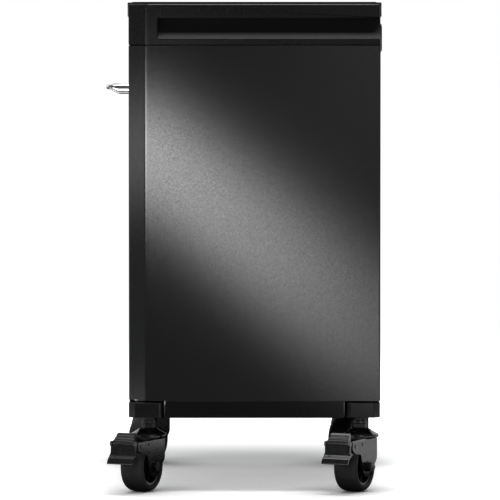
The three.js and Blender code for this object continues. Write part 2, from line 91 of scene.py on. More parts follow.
# Casters, in millimetres: X along the trail and Y along the axle from the swivel axis, Z up from the floor.
TRAIL = 28
WHEEL_R = 50
FLOOR_GAP = 0.32
TYRE_HALF = 24.2
LEG_INNER = 25
LEG_OUTER = 28
LEG_FOOT = 21.5
FORK_BACK = -17
FORK_TOP = 105.5
FORK_BEND = 5
DOME_TOP = 122
PIVOT = (83, 93)
RIVET = (50, 95)
EAR = (104.5, 99)
BASE_BOTTOM = 144.5

# Studio, in metres. The camera looks at the chest's right-hand side from far away and slightly from above.
CAMERA_PLACE = (9.1145, 0.0022, 0.8938)
CAMERA_VIEW = (-1, 0.00147, -0.04792)
CAMERA_LENS = 327.745


# ---------------------------------------------------------------- materials
class Shade:
    """A node material around one Principled shader, drawn in the object's own coordinates."""

    def __init__(self, name, color, roughness, metallic=0.0, **sockets):
        self.material = bpy.data.materials.new(name)
        self.material.use_nodes = True
        self.nodes = self.material.node_tree.nodes
        self.links = self.material.node_tree.links
        self.shader = self.nodes["Principled BSDF"]
        self.set("Base Color", (*color, 1.0))
        self.set("Roughness", roughness)
        self.set("Metallic", metallic)
        for socket, value in sockets.items():
            self.set(socket.replace("_", " "), value)
        self.place = self.nodes.new("ShaderNodeTexCoord").outputs["Object"]
        self.normal = None

    def set(self, socket, value):
        self.shader.inputs[socket].default_value = value

    def stretched(self, scale):
        node = self.nodes.new("ShaderNodeMapping")
        node.inputs["Scale"].default_value = scale
        self.links.new(self.place, node.inputs["Vector"])
        return node.outputs["Vector"]

    def noise(self, scale, detail=2.0, stretch=None):
        node = self.nodes.new("ShaderNodeTexNoise")
        node.inputs["Scale"].default_value = scale
        node.inputs["Detail"].default_value = detail
        self.links.new(self.stretched(stretch) if stretch else self.place, node.inputs["Vector"])
        return node.outputs["Fac"]

    def cells(self, scale, output="Distance"):
        node = self.nodes.new("ShaderNodeTexVoronoi")
        node.inputs["Scale"].default_value = scale
        self.links.new(self.place, node.inputs["Vector"])
        return node.outputs[output]

    def span(self, fac, low, high, start=0.3, end=0.7):
        node = self.nodes.new("ShaderNodeMapRange")
        for socket, value in (("From Min", start), ("From Max", end), ("To Min", low), ("To Max", high)):
            node.inputs[socket].default_value = value
        self.links.new(fac, node.inputs["Value"])
        return node.outputs["Result"]

    def tint(self, fac, dark, light, start=0.3, end=0.7):
        ramp = self.nodes.new("ShaderNodeValToRGB")
        ramp.color_ramp.elements[0].position = start
        ramp.color_ramp.elements[1].position = end
        ramp.color_ramp.elements[0].color = (*dark, 1.0)
        ramp.color_ramp.elements[1].color = (*light, 1.0)
        self.links.new(fac, ramp.inputs["Fac"])
        self.links.new(ramp.outputs["Color"], self.shader.inputs["Base Color"])
        return self

    def rough(self, fac, low, high, start=0.3, end=0.7):
        self.links.new(self.span(fac, low, high, start, end), self.shader.inputs["Roughness"])
        return self

    def bump(self, height, distance_mm, strength=1.0):
        node = self.nodes.new("ShaderNodeBump")
        node.inputs["Strength"].default_value = strength
        node.inputs["Distance"].default_value = distance_mm * MM
        self.links.new(height, node.inputs["Height"])
        if self.normal:
            self.links.new(self.normal, node.inputs["Normal"])
        self.normal = node.outputs["Normal"]
        self.links.new(self.normal, self.shader.inputs["Normal"])
        return self


def grey(value):
    return (value, value, value * 1.02)


def powder_coat(name="powder_coat", index=1.8):
    """Satin black powder coat: a fine orange peel whose sheen changes from grain to grain."""
    shade = Shade(name, grey(0.004), 0.14, IOR=index)
    shade.tint(shade.cells(1100, output="Color"), grey(0.002), grey(0.006), 0.2, 0.8)
    shade.rough(shade.cells(760, output="Color"), 0.1, 0.18, 0.0, 1.0)
    shade.bump(shade.noise(700, 2), 0.03, 0.16)
    grain = shade.span(shade.cells(900, output="Color"), 0.32, 0.68, 0.0, 1.0)
    shade.links.new(grain, shade.shader.inputs["Specular IOR Level"])
    return shade.material


def moulded_plastic(name="moulded_plastic", base=0.003, roughness=0.24):
    """Black moulded plastic with a fine leathery grain."""
    shade = Shade(name, grey(base), roughness, IOR=1.47)
    shade.tint(shade.noise(60, 3), grey(base * 0.8), grey(base * 1.3))
    shade.rough(shade.noise(420, 3), roughness - 0.04, roughness + 0.05)
    shade.bump(shade.cells(650), 0.03, 0.1)
    return shade.material


def gloss_black():
    """Glossy black plating over pressed steel, slightly wavy from the press."""
    shade = Shade("gloss_black", grey(0.004), 0.13, IOR=1.75)
    shade.tint(shade.noise(90, 4), grey(0.002), grey(0.006))
    shade.rough(shade.noise(160, 4), 0.09, 0.2)
    shade.bump(shade.noise(70, 2), 0.2, 0.12)
    shade.bump(shade.noise(900, 2), 0.02, 0.12)
    return shade.material


def rubber():
    """Dark grey rubber, faintly mottled, with a fine moulded grain."""
    base = 0.009
    shade = Shade("tyre_rubber", grey(base), 0.55, IOR=1.45)
    shade.tint(shade.noise(110, 5), grey(base * 0.75), grey(base * 1.45))
    shade.rough(shade.noise(260, 4), 0.46, 0.68)
    shade.bump(shade.noise(800, 3), 0.05, 0.35)
    return shade.material


def chrome():
    """Polished chrome with the faintest haze."""
    shade = Shade("chrome", (0.86, 0.87, 0.88), 0.05, 1.0)
    shade.tint(shade.noise(40, 3), (0.8, 0.81, 0.83), (0.9, 0.9, 0.91))
    shade.rough(shade.noise(120, 5), 0.03, 0.1)
    shade.bump(shade.noise(35, 1), 0.1, 0.08)
    return shade.material


def brushed_aluminium():
    """Anodised aluminium, brushed along its length."""
    shade = Shade("brushed_aluminium", (0.6, 0.61, 0.63), 0.32, 1.0, Anisotropic=0.5)
    lines = shade.noise(1.0, 4, stretch=(12, 1500, 1500))
    shade.tint(lines, (0.5, 0.51, 0.53), (0.68, 0.69, 0.71))
    shade.rough(lines, 0.24, 0.42)
    shade.bump(lines, 0.03, 0.3)
    return shade.material


def zinc_plate(name="zinc_plate", low=0.38, high=0.62):
    """Zinc-plated steel with a cloudy sheen."""
    shade = Shade(name, grey(0.5), 0.32, 1.0)
    shade.tint(shade.noise(140, 5), grey(low), grey(high))
    shade.rough(shade.noise(300, 4), 0.24, 0.42)
    shade.bump(shade.noise(500, 3), 0.04, 0.25)
    return shade.material


POWDER = powder_coat()
FRAME_COAT = powder_coat("frame_coat", 1.42)
TOP_PLASTIC = moulded_plastic()
# A rougher plastic for the scoops, darker than the top: painted shade in the recesses.
GRIP_AND_SHADE_PLASTIC = moulded_plastic("grip_and_shade_plastic", 0.0012, 0.5)
# A near-black matte strip that paints the shade in the seam under the worktop.
SEAM_SHADE = moulded_plastic("seam_painted_shade", 0.0008, 0.9)
BLOCK_PLASTIC = moulded_plastic("block_plastic", 0.004, 0.2)
CORE_PLASTIC = moulded_plastic("core_plastic", 0.004, 0.24)
GLOSS = gloss_black()
TYRE = rubber()
CHROME = chrome()
ALUMINIUM = brushed_aluminium()
ZINC = zinc_plate()
ZINC_BOLT = zinc_plate("zinc_bolt", 0.1, 0.18)
ZINC_SOFT = zinc_plate("zinc_soft", 0.04, 0.08)
DARK_STEEL = zinc_plate("dark_steel", 0.02, 0.045)


# ---------------------------------------------------------------- mesh building
def new_object(name, bm):
    mesh = bpy.data.meshes.new(name)
    bm.to_mesh(mesh)
    bm.free()
    obj = bpy.data.objects.new(name, mesh)
    bpy.context.scene.collection.objects.link(obj)
    return obj


def circle(radius, count, centre=(0, 0)):
    turns = [math.tau * k / count for k in range(count)]
    return [(centre[0] + radius * math.cos(a), centre[1] + radius * math.sin(a)) for a in turns]


def rounded(corners, closed=True, steps=6):
    """A polyline of (x, y, radius) corners, with an arc of that radius at each."""
    points = []
    for i, corner in enumerate(corners):
        here = Vector(corner[:2])
        radius = corner[2] if len(corner) > 2 else 0
        if not radius or (not closed and i in (0, len(corners) - 1)):
            points.append(tuple(here))
            continue
        back = (Vector(corners[i - 1][:2]) - here).normalized()
        ahead = (Vector(corners[(i + 1) % len(corners)][:2]) - here).normalized()
        half = math.acos(max(-1.0, min(1.0, back.dot(ahead)))) / 2
        centre = here + (back + ahead).normalized() * (radius / math.sin(half))
        start = here + back * (radius / math.tan(half)) - centre
        end = here + ahead * (radius / math.tan(half)) - centre
        turn = math.atan2(start.x * end.y - start.y * end.x, start.dot(end))
        for k in range(steps + 1):
            points.append(tuple(centre + Matrix.Rotation(turn * k / steps, 2) @ start))
    return points


def prism(name, outline, axis, low, high):
    """An outline pushed along an axis: it is (y, z) along X, (x, z) along Y and (x, y) along Z."""
    def at(point, along):
        a, b = point
        return {"X": (along, a, b), "Y": (a, along, b), "Z": (a, b, along)}[axis]

    bm = bmesh.new()
    rings = [[bm.verts.new(at(point, along)) for point in outline] for along in (low, high)]
    bm.faces.new(rings[0])
    bm.faces.new(rings[1])
    count = len(outline)
    for i in range(count):
        j = (i + 1) % count
        bm.faces.new((rings[0][i], rings[0][j], rings[1][j], rings[1][i]))
    bmesh.ops.recalc_face_normals(bm, faces=bm.faces)
    return new_object(name, bm)


def block(name, x, y, z):
    return prism(name, [(x[0], y[0]), (x[1], y[0]), (x[1], y[1]), (x[0], y[1])], "Z", z[0], z[1])


def lathe(name, profile, segments=64):
    """A closed outline of (radius, height) points turned about Z. Points on the axis are joined into one."""
    bm = bmesh.new()
    rings = []
    for radius, height in profile:
        if radius < 1e-6:
            rings.append([bm.verts.new((0, 0, height))] * segments)
            continue
        angles = [math.tau * k / segments for k in range(segments)]
        rings.append([bm.verts.new((radius * math.cos(a), radius * math.sin(a), height)) for a in angles])
    for lower, upper in zip(rings, rings[1:] + rings[:1]):
        for k in range(segments):
            j = (k + 1) % segments
            corners = list(dict.fromkeys((lower[k], lower[j], upper[j], upper[k])))
            if len(corners) > 2:
                bm.faces.new(corners)
    bmesh.ops.recalc_face_normals(bm, faces=bm.faces)
    return new_object(name, bm)


def apply_modifiers(obj):
    graph = bpy.context.evaluated_depsgraph_get()
    result = obj.evaluated_get(graph)
    mesh = bpy.data.meshes.new_from_object(result, preserve_all_data_layers=True, depsgraph=graph)
    obj.modifiers.clear()
    old = obj.data
    obj.data = mesh
    bpy.data.meshes.remove(old)
    return obj


def combine(base, operation, *others):
    """Joins others to base, cuts them away, or keeps what they share, and removes them."""
    for other in others:
        modifier = base.modifiers.new("combine", "BOOLEAN")
        modifier.object = other
        modifier.operation = operation
        modifier.solver = "MANIFOLD"
        apply_modifiers(base)
        bpy.data.objects.remove(other)
    return base


def clean(obj):
    """Merges flat neighbouring facets, so that only real edges are left."""
    flat = math.radians(0.6)
    bm = bmesh.new()
    bm.from_mesh(obj.data)
    bmesh.ops.remove_doubles(bm, verts=bm.verts, dist=2e-6)
    bmesh.ops.dissolve_degenerate(bm, dist=1e-5, edges=bm.edges)
    bmesh.ops.dissolve_limit(
        bm, angle_limit=flat, verts=bm.verts, edges=bm.edges, delimit={"NORMAL"},
    )
    bm.to_mesh(obj.data)
    bm.free()


def soften(obj, width_mm, segments=2, angle=30, crisp=False):
    """Rounds every real edge over and shades the rest smooth. A crisp piece keeps its chamfers flat."""
    clean(obj)
    for polygon in obj.data.polygons:
        polygon.use_smooth = True
    bevel = obj.modifiers.new("edges", "BEVEL")
    bevel.width = width_mm * MM
    bevel.segments = segments
    bevel.limit_method = "ANGLE"
    bevel.angle_limit = math.radians(angle)
    bevel.use_clamp_overlap = not crisp
    bevel.miter_outer = "MITER_ARC"
    if crisp:
        apply_modifiers(obj)
        obj.data.set_sharp_from_angle(angle=math.radians(angle))
    normals = obj.modifiers.new("normals", "WEIGHTED_NORMAL")
    normals.mode = "FACE_AREA"
    normals.weight = 100
    normals.keep_sharp = crisp
    return apply_modifiers(obj)


def dress(obj, material, slot, body, *nodes):
    """Gives a piece its material and its body, and lets it stand for the CAD nodes. The slot is not used."""
    obj.data.materials.clear()
    obj.data.materials.append(material)
    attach(obj, body)
    if nodes:
        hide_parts(*nodes)
    return obj


def placed(obj, matrix, width_mm, segments=2, angle=30):
    """Moves a piece drawn in millimetres to its place in the frame and rounds its edges."""
    obj.data.transform(matrix)
    return soften(obj, width_mm, segments, angle)


# ---------------------------------------------------------------- cabinet
def slot_of(node):
    return next(s["material_slot"] for s in frame["record"]["subparts"] if s["node"] == node)


def body_of(node):
    return frame["nodes"][node]["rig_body"]


def refined(node, material, width_mm, segments=2, crisp=False, shift=None):
    """A copy of a CAD node with its edges rounded over, standing for it."""
    obj = bpy.data.objects.new(f"{node}_skin", frame["nodes"][node].data.copy())
    bpy.context.scene.collection.objects.link(obj)
    obj.data.materials.clear()
    for vertex in obj.data.vertices if shift else []:
        vertex.co += shift(vertex.co)
    soften(obj, width_mm, segments, crisp=crisp)
    return dress(obj, material, slot_of(node), body_of(node), node)


def make_worktop():
    """The moulded top. The scoops under its side lips get a rougher plastic for the fingers,
    darker than the top to paint the shade in the scoops.
    """
    top = refined("worktop", TOP_PLASTIC, 1.1, 1, crisp=True)
    top.data.materials.append(GRIP_AND_SHADE_PLASTIC)
    low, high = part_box("worktop")
    for vertex in top.data.vertices:
        # The chamfer runs out to a thorn at the scoop's open end. This cuts it back.
        vertex.co.x = min(max(vertex.co.x, low.x), high.x)
        vertex.co.z = min(vertex.co.z, high.z)
        if vertex.co.y > high.y:
            vertex.co.y = high.y - 3 * MM
    scoop_bottom, scoop_top = high.z - SCOOP_FLOOR * MM, high.z - SCOOP_CEILING * MM
    # The faces inside the scoops take the darker plastic, which paints the shade in them.
    for polygon in top.data.polygons:
        spot = polygon.center
        hollow = scoop_bottom < spot.z < scoop_top and spot.y > low.y + SCOOP_START * MM
        depth = min(spot.x - low.x, high.x - spot.x) / MM
        if hollow and LIP_FACE < depth < SCOOP_REACH and abs(polygon.normal.y) < 0.9:
            polygon.material_index = 1


def post_foot(bottom):
    """Brings the foot of the slanted post down to a narrow slit above the corner block."""
    def shift(spot):
        lifted = POST_LIFT[0] < (spot.z - bottom) / MM < POST_LIFT[1]
        return Vector((0, 0, -POST_DROP * MM if lifted else 0))
    return shift


def joint_shift():
    """Moves the joints between the corner blocks and the skirts inwards and narrows them to a hairline."""
    low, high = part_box("base_frame")
    middle = [(low[axis] + high[axis]) / 2 for axis in (0, 1)]
    half = [(high[axis] - low[axis]) / 2 for axis in (0, 1)]

    def shift(spot):
        move = []
        for axis in (0, 1):
            depth = half[axis] - abs(spot[axis] - middle[axis])
            inwards = 0
            if depth < BLOCK_LIMIT:
                inwards = BLOCK_STRETCH * min(1.0, max(0.0, depth - STRETCH_START) / STRETCH_LENGTH)
            elif depth < SKIRT_LIMIT:
                inwards = SKIRT_SHIFT
            move.append(-math.copysign(inwards, spot[axis] - middle[axis]))
        return Vector((*move, 0))
    return shift


def make_seam_shade(side):
    """A dark strip in the seam between the worktop and a side panel, along the panel's flat part: painted
    shade in the gap.
    """
    low, high = (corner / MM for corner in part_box(f"side_panel_{side}"))
    face, inwards = (high.x, -1) if side == "right" else (low.x, 1)
    outer, inner = sorted((face + inwards * 1.4, face + inwards * 1.9))
    along, upright = (low.y + SEAM_START, high.y - 3), (high.z + 0.15, high.z + 1.25)
    seam_strip = block(f"seam_shade_strip_{side}", (outer, inner), along, upright)
    placed(seam_strip, Matrix.Scale(MM, 4), 0.1, 1)
    dress(seam_strip, SEAM_SHADE, slot_of("worktop"), "cabinet")


def make_cabinet():
    for side in ("left", "right"):
        panel = f"side_panel_{side}"
        refined(panel, POWDER, 0.45, shift=post_foot(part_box(panel)[0].z))
        make_seam_shade(side)
    refined("back_panel", POWDER, 0.4)
    refined("floor_pan", POWDER, 0.4)
    refined("front_rail", POWDER, 0.4)
    joints = joint_shift()
    refined("base_frame", FRAME_COAT, 0.2, 1, shift=joints)
    refined("rear_tie_plate", POWDER, 0.4)
    make_worktop()
    for end, side in PLACES:
        refined(f"corner_block_{end}_{side}", BLOCK_PLASTIC, 1.2, 3, shift=joints)


def make_drawers():
    for number in DRAWERS:
        refined(f"drawer_{number}_box", POWDER, 0.35)
        refined(f"drawer_{number}_front", POWDER, 0.8)
        if number > 1:
            refined(f"drawer_{number}_pull", ALUMINIUM, 0.3)
        for side in ("left", "right"):
            refined(f"slide_{number}_{side}", ZINC, 0.3)


def handle_path(low, high, thick):
    """The bow's centre line seen from above, in points at most about 3 mm apart."""
    side_margin, bend = 6.5, 19
    half_span = (high.x - low.x) / 2 - side_margin
    front = low.y + thick / 2
    corners = [
        (-half_span, high.y), (-half_span, front, bend), (half_span, front, bend), (half_span, high.y),
    ]
    path = [Vector(point) for point in rounded(corners, closed=False, steps=14)]
    dense = []
    for a, b in zip(path, path[1:]):
        steps = max(1, round((b - a).length / 3))
        dense += [a.lerp(b, k / steps) for k in range(steps)]
    return dense + [path[-1]]


def make_handle():
    """The bow handle: one bar of chrome that thickens towards its two feet."""
    low, high = (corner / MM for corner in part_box("drawer_1_handle"))
    centre = (low.x + high.x) / 2
    thick, thin_height, foot_height = 11.5, 10.0, high.z - low.z
    sides, squareness = 28, 0.85
    taper_start, taper_length = 8, 20
    path = handle_path(low, high, thick)
    bm = bmesh.new()
    rings = []
    for i, point in enumerate(path):
        ahead = path[min(i + 1, len(path) - 1)] - path[max(i - 1, 0)]
        across = Vector((ahead.y, -ahead.x)).normalized()
        reach = max(0.0, min(1.0, (point.y - low.y - taper_start) / taper_length))
        height = thin_height + (foot_height - thin_height) * reach * reach * (3 - 2 * reach)
        ring = []
        for c, s in circle(1, sides):
            out = math.copysign(abs(c) ** squareness, c) * thick / 2
            up = math.copysign(abs(s) ** squareness, s) * height / 2
            spot = point + across * out
            ring.append(bm.verts.new((centre + spot.x, spot.y, high.z - height / 2 + up)))
        rings.append(ring)
    for before, after in zip(rings, rings[1:]):
        for k in range(sides):
            j = (k + 1) % sides
            bm.faces.new((before[k], before[j], after[j], after[k]))
    bm.faces.new(rings[0])
    bm.faces.new(rings[-1])
    bmesh.ops.recalc_face_normals(bm, faces=bm.faces)
    obj = new_object("drawer_1_bow_handle", bm)
    placed(obj, Matrix.Scale(MM, 4), 0.4)
    dress(obj, CHROME, "chrome", "drawer_1", "drawer_1_handle")


def make_lock():
    """The lock plug: a domed escutcheon, a turned plug with a key slot, and a cam behind."""
    low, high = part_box("lock_plug")
    centre = Vector(((low.x + high.x) / 2, low.y, (low.z + high.z) / 2))
    radius = (high.x - low.x) / 2 / MM
    depth = (high.y - low.y) / MM
    profile = [
        (0, 0.6), (6.2, 0.6), (6.5, 1.1), (7.1, 1.1), (7.6, 0), (radius - 2.2, 0), (radius - 0.6, 0.9),
        (radius, 2.2), (radius, 3.1), (9.4, 3.1), (9.4, 20.5), (0, 20.5),
    ]
    plug = lathe("lock_plug_skin", profile, 56)
    slot = block("slot", (-0.9, 0.9), (-4.2, 4.2), (-1, 7))
    cam = prism("cam", rounded([(-5, -9, 3), (5, -9, 3), (5, 9, 3), (-5, 9, 3)]), "Z", 18.6, depth)
    combine(plug, "DIFFERENCE", slot)
    combine(plug, "UNION", cam)
    to_front = Matrix.Rotation(math.radians(-90), 4, "X")
    placed(plug, Matrix.Translation(centre) @ to_front @ Matrix.Scale(MM, 4), 0.2)
    dress(plug, CHROME, "chrome", "lock", "lock_plug")


# ---------------------------------------------------------------- casters
def caster_matrix(place):
    x, y, _ = JOINTS[f"swivel_{place}"]["pos_m"]
    nx, ny, _ = JOINTS[f"roll_{place}"]["axis"]
    yaw = math.atan2(-nx, ny)
    return Matrix.Translation((x, y, 0)) @ Matrix.Rotation(yaw, 4, "Z") @ Matrix.Scale(MM, 4)


def about_axle():
    return Matrix.Translation((TRAIL, 0, WHEEL_R)) @ Matrix.Rotation(math.radians(90), 4, "X")


def nut(name, across_flats, low, high):
    """A hexagon prism with its corners turned off at both faces, standing on Z."""
    radius = across_flats / math.sqrt(3)
    body = prism(name, circle(radius, 6), "Z", low, high)
    outer = radius + 0.2
    face = across_flats / 2 * 0.96
    slope = (outer - face) * 0.55
    turned = lathe("turned", [
        (0, low), (face, low), (outer, low + slope), (outer, high - slope), (face, high), (0, high),
    ])
    return combine(body, "INTERSECT", turned)


def make_stem(place, matrix):
    """What stays with the cabinet: a flange and sleeve under the corner block, and the nut below them."""
    sleeve = lathe(f"caster_sleeve_{place}", [
        (0, 101), (7, 101), (7, 131.8), (12.6, 131.8), (13, 132.4), (13, 137.4), (12.4, 138), (10.6, 138.4),
        (10.6, 141.4), (13.4, 141.8), (13.8, 142.4), (13.8, BASE_BOTTOM - 0.5), (0, BASE_BOTTOM - 0.5),
    ])
    placed(sleeve, matrix, 0.25)
    dress(sleeve, ZINC_SOFT, "zinc_steel", "cabinet", f"caster_stem_{place}")
    lock_nut = nut(f"caster_nut_{place}", 24, DOME_TOP + 0.6, 131.6)
    placed(lock_nut, matrix, 0.4)
    dress(lock_nut, DARK_STEEL, "zinc_steel", "cabinet")
    kingpin_foot = lathe(f"caster_kingpin_{place}", [
        (0, 98.4), (9.6, 98.4), (11, 99.3), (11, 100.9), (0, 101.3),
    ])
    placed(kingpin_foot, matrix, 0.3)
    dress(kingpin_foot, ZINC, "zinc_steel", "cabinet")


def leg_outline(braked):
    """A leg seen along the axle: round at the foot, and on a braked fork with an arm out to the pedal."""
    turns = [math.radians(-155 * k / 16) for k in range(17)]
    foot = [(TRAIL + LEG_FOOT * math.cos(a), WHEEL_R + LEG_FOOT * math.sin(a)) for a in turns]
    back = [(FORK_BACK, 62, 14), (FORK_BACK, FORK_TOP + 5)]
    arm = [(97, FORK_TOP + 5), (97, 86, 7), (80, 78, 10), (58, 76, 8)]
    plain = [(40, FORK_TOP + 5), (40, 96, 4), (TRAIL + LEG_FOOT, 84, 14)]
    return rounded(back + (arm if braked else plain) + foot, steps=8)


def channel(half_width, top, bend):
    """Down one side, over the top and down the other side."""
    corners = [(-half_width, 20), (-half_width, top, bend), (half_width, top, bend), (half_width, 20)]
    return rounded(corners, closed=False, steps=8)


def fork_shell():
    """A bent channel: two legs joined by a rounded top."""
    sheet = LEG_OUTER - LEG_INNER
    outer = channel(LEG_OUTER, FORK_TOP, FORK_BEND)
    inner = channel(LEG_INNER, FORK_TOP - sheet, FORK_BEND - sheet)
    return prism("fork", outer + inner[::-1], "X", FORK_BACK - 1, 99)


def make_fork(place, matrix, braked):
    """The fork with its domed swivel race. A braked one has a rivet on each leg's arm."""
    fork = fork_shell()
    combine(fork, "INTERSECT", prism("leg", leg_outline(braked), "Y", -40, 40))
    web_end = 62 if braked else 36
    combine(fork, "DIFFERENCE", block("web_cut", (web_end, 100), (-LEG_INNER, LEG_INNER), (60, 120)))
    race = lathe("race", [
        (8, 104.7), (33.2, 104.7), (34.6, 105.3), (35.3, 106.4), (35.5, 108.2), (35.3, 110), (34.4, 111.4),
        (32.6, 112.3), (29.6, 113.6), (25, 116.4), (20.6, 119.4), (17.4, 121.2), (14.6, DOME_TOP),
        (8, DOME_TOP),
    ], 72)
    combine(fork, "UNION", race)
    for side in (-1, 1) if braked else ():
        head = side * (LEG_OUTER + 0.3)
        combine(fork, "UNION", prism("rivet", circle(3.4, 20, RIVET), "Y", head - 0.7, head + 0.7))
    bore = lathe("bore", [(0, 90), (7.8, 90), (7.8, 125), (0, 125)], 32)
    combine(fork, "DIFFERENCE", bore)
    placed(fork, matrix, 0.55, 2, 25)
    fork.name = f"caster_fork_{place}_skin"
    dress(fork, GLOSS, "caster_black", f"caster_{place}", f"caster_fork_{place}")


def make_axle(place, matrix, reversed_bolt):
    """The axle bolt. One end has a hexagon head, the other a nut with the bolt's end standing out of it."""
    turn = matrix @ about_axle() @ Matrix.Rotation(math.radians(180 if reversed_bolt else 0), 4, "X")
    start = LEG_OUTER + 0.3
    thread = [(4.9 if k % 2 else 4.45, start + 9.6 + 0.55 * k) for k in range(9)]
    shank = lathe(f"wheel_axle_{place}_shank", [
        (0, -start), (5, -start), (5, start + 9), (4.6, start + 9.4), *thread, (3.6, start + 15),
        (0, start + 15),
    ], 32)
    placed(shank, turn, 0.1)
    dress(shank, ZINC_BOLT, "zinc_steel", f"caster_{place}", f"wheel_axle_{place}")
    for label, low, high in (("nut", start + 1.4, start + 9), ("head", -start - 7, -start)):
        piece = nut(f"wheel_axle_{place}_{label}", 17, low, high)
        placed(piece, turn, 0.3)
        dress(piece, DARK_STEEL, "zinc_steel", f"caster_{place}")
    washer = lathe(f"wheel_axle_{place}_washer", [
        (5.2, start), (10.4, start), (10.4, start + 1.3), (5.2, start + 1.3),
    ], 40)
    placed(washer, turn, 0.2)
    dress(washer, DARK_STEEL, "zinc_steel", f"caster_{place}")


def tyre_profile():
    """A barrel-shaped tread between two side walls, each with a bead."""
    wall, power = 40, 2 / 2.9
    crown = WHEEL_R - FLOOR_GAP - wall
    tread = []
    for k in range(25):
        angle = math.radians(-90 + 180 * k / 24)
        across = math.copysign(abs(math.sin(angle)) ** power, math.sin(angle)) * TYRE_HALF
        tread.append((wall + crown * max(0.0, math.cos(angle)) ** power, across))
    bead = [(38, 24.1), (37, 23.4), (36.6, 21.6), (36.1, 20.9)]
    return [(r, -t) for r, t in reversed(bead)] + tread + bead


def make_wheel(place, matrix):
    body = f"wheel_{place}"
    turn = matrix @ about_axle()
    tyre = lathe(f"wheel_tyre_{place}_skin", tyre_profile(), 112)
    placed(tyre, turn, 0.25, 1, 40)
    dress(tyre, TYRE, "tyre", body, f"wheel_tyre_{place}")
    core = lathe(f"wheel_core_{place}_skin", [
        (5.6, -24.3), (9.5, -24.3), (12.5, -23), (14, -10.5), (16, -8), (28, -7), (30.4, -9), (32.6, -20),
        (35.6, -20.5), (35.6, 20.5), (32.6, 20), (30.4, 9), (28, 7), (16, 8), (14, 10.5), (12.5, 23),
        (9.5, 24.3), (5.6, 24.3),
    ], 72)
    for k in range(8):
        rib = block("rib", (11.5, 32), (-1.2, 1.2), (-14.5, 14.5))
        rib.data.transform(Matrix.Rotation(math.tau * k / 8, 4, "Z"))
        combine(core, "UNION", rib)
    placed(core, turn, 0.35)
    dress(core, CORE_PLASTIC, "wheel_core", body, f"wheel_core_{place}")


def make_pedal(place, matrix):
    """A pressed pedal: a ribbed release tab, a plain face, a flared lip, and two cheeks on a pivot."""
    ribs = rounded([
        (88.6, 119.8, 1.5), (93.6, 119, 1.6), (97.4, 115.6, 1.5), (96.6, 112.6, 0.9), (101.4, 111, 1.5),
        (100.8, 107.8, 0.9), (105.6, 106, 1.6), (105.6, 101), (102, 97), (86, 114.5, 1.5),
    ], steps=5)
    pedal = prism("pedal", ribs, "Y", -26, 26)
    taper = [(-17.5, 121), (17.5, 121), (25, 96), (-25, 96)]
    combine(pedal, "INTERSECT", prism("taper", taper, "X", 80, 110))
    face = rounded([
        (100.5, 100.5), (105, 102.4, 2), (106.7, 99.6, 1.5), (107.4, 89, 60), (108.4, 77), (103.6, 75),
        (101.5, 90, 20),
    ], steps=6)
    lip = rounded([
        (106.6, 80), (109, 76.6, 4), (116, 71, 6), (121.4, 61.2, 1.2), (118.8, 60, 1), (112.6, 68.6, 6),
        (103.8, 74.5),
    ], steps=6)
    cheek = rounded([(75, 99, 4), (75, 86, 5), (93, 74, 6), (105, 74.5), (103.6, 99)], steps=6)
    ear = circle(5.4, 28, EAR)
    pivot = circle(3.6, 24, PIVOT)
    parts = [
        prism("face", face, "Y", -26.5, 26.5),
        prism("lip", lip, "Y", -28, 28),
        block("bridge", (75, 88), (-23.8, 23.8), (87.5, 98)),
        prism("pivot", pivot, "Y", -LEG_OUTER - 1.2, LEG_OUTER + 1.2),
    ]
    for side in (-1, 1):
        parts.append(prism("cheek", cheek, "Y", *sorted((side * 21.2, side * 23.8))))
    combine(pedal, "UNION", *parts)
    for side in (-1, 1):
        combine(pedal, "UNION", prism("ear", ear, "Y", *sorted((side * 23.5, side * 27.2))))
    placed(pedal, matrix, 0.5, 2, 28)
    pedal.name = f"brake_pedal_{place}_skin"
    dress(pedal, GLOSS, "caster_black", f"pedal_{place}", f"brake_pedal_{place}")


def make_casters():
    for end, side in PLACES:
        place = f"{end}_{side}"
        matrix = caster_matrix(place)
        braked = side == "right"
        make_stem(place, matrix)
        make_fork(place, matrix, braked)
        make_axle(place, matrix, reversed_bolt=end == "rear")
        make_wheel(place, matrix)
        if braked:
            make_pedal(place, matrix)


# ---------------------------------------------------------------- studio
class Maths:
    """Node arithmetic in a stage material."""

    def __init__(self, tree):
        self.nodes, self.links = tree.nodes, tree.links

    def do(self, operation, *values):
        node = self.nodes.new("ShaderNodeMath")
        node.operation = operation
        for socket, value in zip(node.inputs, values):
            if isinstance(value, (int, float)):
                socket.default_value = value
            else:
                self.links.new(value, socket)
        return node.outputs["Value"]

    def product(self, first, *others):
        for other in others:
            first = self.do("MULTIPLY", first, other)
        return first

    def one_minus(self, value):
        return self.do("SUBTRACT", 1.0, value)

    def span(self, value, start, end, low=0.0, high=1.0, smooth=True):
        """Runs from low to high while value runs from start to end."""
        node = self.nodes.new("ShaderNodeMapRange")
        node.interpolation_type = "SMOOTHSTEP" if smooth else "LINEAR"
        for socket, number in (("From Min", start), ("From Max", end), ("To Min", low), ("To Max", high)):
            node.inputs[socket].default_value = number
        self.links.new(value, node.inputs["Value"])
        return node.outputs["Result"]


def floor_glow_painted_shadow(maths, x, y, away, corner):
    """How much the floor glows for the camera, with shadow painted into the glow: least behind the chest,
    more under its near side, most out in the open, and a painted contact shadow down to nothing
    in the corners where a wheel stands."""
    # Painted shadow: the glow drops behind and under the chest.
    under = maths.span(x, -0.42, -0.1, 0.15, 0.38)
    open_floor = maths.do("MAXIMUM", maths.span(away, 0.5, 1.25, 0, 0.9), maths.span(y, 0.2, 0.36, 0, 0.5))
    return maths.do("MULTIPLY", maths.do("ADD", under, open_floor), maths.do("POWER", corner, 2.6))


